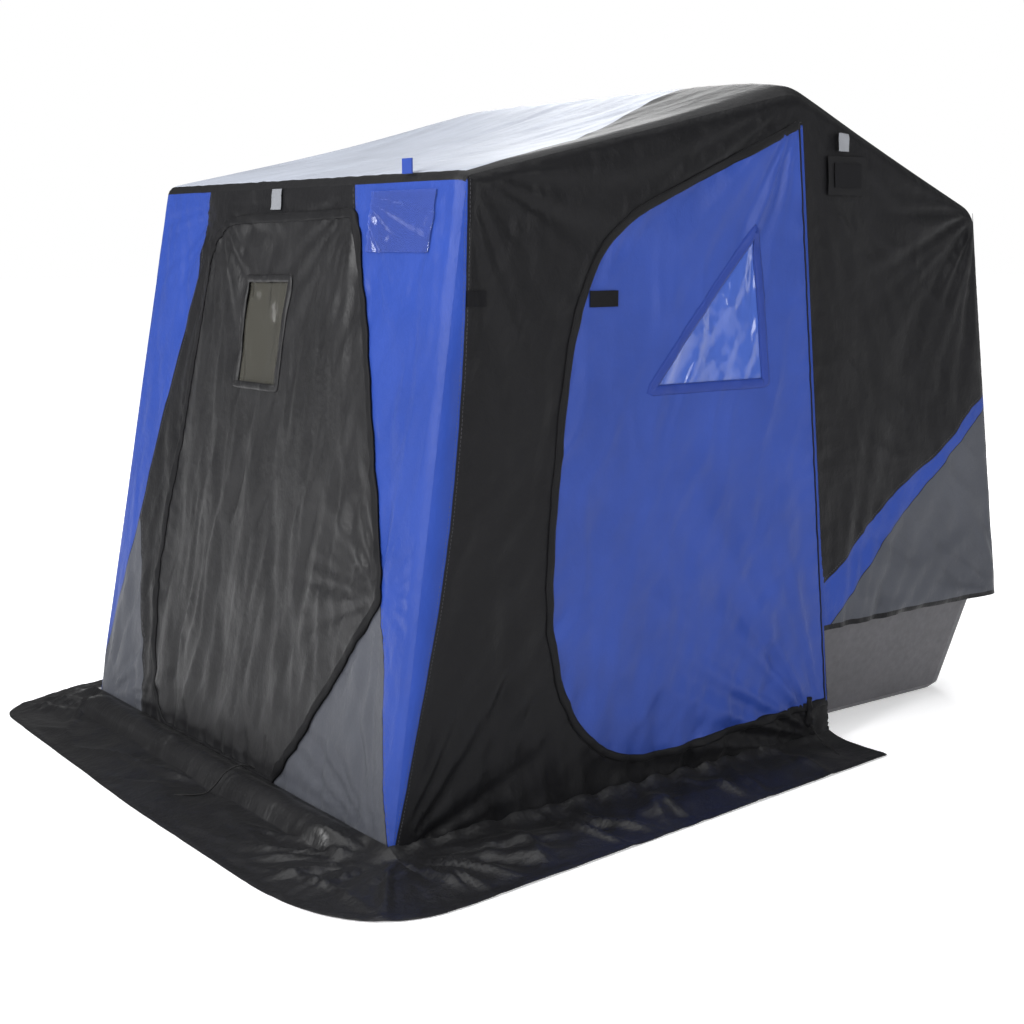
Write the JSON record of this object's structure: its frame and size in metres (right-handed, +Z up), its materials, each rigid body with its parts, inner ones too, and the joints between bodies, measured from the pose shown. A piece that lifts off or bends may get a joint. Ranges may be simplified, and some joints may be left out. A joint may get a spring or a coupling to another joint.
{
  "type": "ice fishing shelter",
  "caption": "Flip-over fabric fishing cabin on a rear sled, with fold-back hoops, a front door, side doors, clear windows and snow skirts.",
  "frame": {"origin": "centre of the footprint on the ground, under the whole shelter", "axes": "+Z up; the front wall with its door faces -Y; the sled is at +Y with its long side along X"},
  "size_m": [2.392, 2.8943, 1.9988],
  "materials": {
    "black_fabric": "polyester canvas, soft sheen",
    "blue_fabric": "polyester canvas",
    "grey_fabric": "polyester canvas",
    "roof_fabric": "coated polyester",
    "clear_vinyl": "clear flexible sheet",
    "sled_shell": "rotomoulded polyethylene",
    "runner": "wear strip",
    "hoop_tube": "satin",
    "bracket_steel": "zinc plated",
    "reflective_tape": "reflective",
    "pull_cord": "braided cord",
    "binding": "tape",
    "floor_fabric": "coated skirt"
  },
  "bodies": {
    "sled": {"sled_tub": "sled_shell", "sled_runner_1": "runner", "sled_runner_2": "runner", "sled_runner_3": "runner", "pivot_bracket_right": "bracket_steel", "pivot_bracket_left": "bracket_steel", "pivot_bolt_right": "bracket_steel", "pivot_bolt_left": "bracket_steel"},
    "rear_hoop": {"rear_leg_right": "hoop_tube", "rear_leg_left": "hoop_tube", "rear_extension_right": "hoop_tube", "rear_extension_left": "hoop_tube", "rear_elbow_right": "hoop_tube", "rear_elbow_left": "hoop_tube", "rear_crossbar": "hoop_tube", "back_wall": "black_fabric", "rear_side_right": "black_fabric", "rear_side_left": "black_fabric", "reflective_tag_right": "reflective_tape", "reflective_tag_left": "reflective_tape"},
    "mid_hoop": {"mid_leg_right": "hoop_tube", "mid_leg_left": "hoop_tube", "mid_extension_right": "hoop_tube", "mid_extension_left": "hoop_tube", "mid_elbow_right": "hoop_tube", "mid_elbow_left": "hoop_tube", "mid_crossbar": "hoop_tube", "roof_rear": "black_fabric", "side_wall_right": "black_fabric", "side_wall_left": "black_fabric"},
    "front_hoop": {"front_leg_right": "hoop_tube", "front_leg_left": "hoop_tube", "front_extension_right": "hoop_tube", "front_extension_left": "hoop_tube", "front_elbow_right": "hoop_tube", "front_elbow_left": "hoop_tube", "front_crossbar": "hoop_tube", "roof_front": "roof_fabric"},
    "front_wall": {"front_wall_panel": "black_fabric", "document_pocket": "clear_vinyl", "reflective_tag_front": "reflective_tape", "webbing_loop": "blue_fabric", "skirt_front": "black_fabric", "skirt_right": "black_fabric", "skirt_left": "black_fabric"},
    "front_door": {"front_door_panel": "black_fabric", "front_window": "clear_vinyl", "front_zip_pull": "pull_cord"},
    "side_door_right": {"side_door_panel_right": "blue_fabric", "side_window_right": "clear_vinyl", "side_zip_pull_right": "pull_cord"},
    "side_door_left": {"side_door_panel_left": "blue_fabric", "side_window_left": "clear_vinyl", "side_zip_pull_left": "pull_cord"}
  },
  "joints": [
    {"name": "rear_fold", "type": "hinge", "parent": "sled", "child": "rear_hoop", "pos_m": [-0.09, 0.5485, 0.42], "axis": [-1, 0, 0], "range_deg": [0, 48], "deforming": ["back_wall", "rear_side_right", "rear_side_left", "reflective_tag_right", "reflective_tag_left"]},
    {"name": "mid_fold", "type": "hinge", "parent": "rear_hoop", "child": "mid_hoop", "pos_m": [-0.09, 0.5485, 0.42], "axis": [-1, 0, 0], "range_deg": [0, 31.5], "deforming": ["roof_rear"]},
    {"name": "front_fold", "type": "hinge", "parent": "mid_hoop", "child": "front_hoop", "pos_m": [-0.09, 0.5485, 0.42], "axis": [-1, 0, 0], "range_deg": [0, 37.5], "deforming": ["roof_front", "side_wall_right", "side_wall_left", "side_door_panel_right", "side_door_panel_left", "side_window_right", "side_window_left", "side_zip_pull_right", "side_zip_pull_left"]},
    {"name": "front_wall_fold", "type": "hinge", "parent": "front_hoop", "child": "front_wall", "pos_m": [-0.09, -0.76876, 1.72448], "axis": [1, 0, 0], "range_deg": [0, 50], "deforming": ["skirt_front", "skirt_right", "skirt_left"]},
    {"name": "front_door_swing", "type": "hinge", "parent": "front_wall", "child": "front_door", "pos_m": [0.651, -0.9816, 0.64], "axis": [-0.3392, 0.1592, 0.9272], "range_deg": [0, 110]},
    {"name": "side_door_right_swing", "type": "hinge", "parent": "mid_hoop", "child": "side_door_right", "pos_m": [0.85054, 0.5405, 0.14], "axis": [-0.0389, -0.0672, 0.997], "range_deg": [0, 110]},
    {"name": "side_door_left_swing", "type": "hinge", "parent": "mid_hoop", "child": "side_door_left", "pos_m": [-1.03054, 0.5405, 0.14], "axis": [-0.0389, 0.0672, -0.997], "range_deg": [0, 110]}
  ],
  "couplings": [
    {"joint": "mid_fold", "follows": "rear_fold", "ratio": 0.65625},
    {"joint": "front_fold", "follows": "rear_fold", "ratio": 0.78125},
    {"joint": "front_wall_fold", "follows": "rear_fold", "ratio": 1.0417}
  ]
}
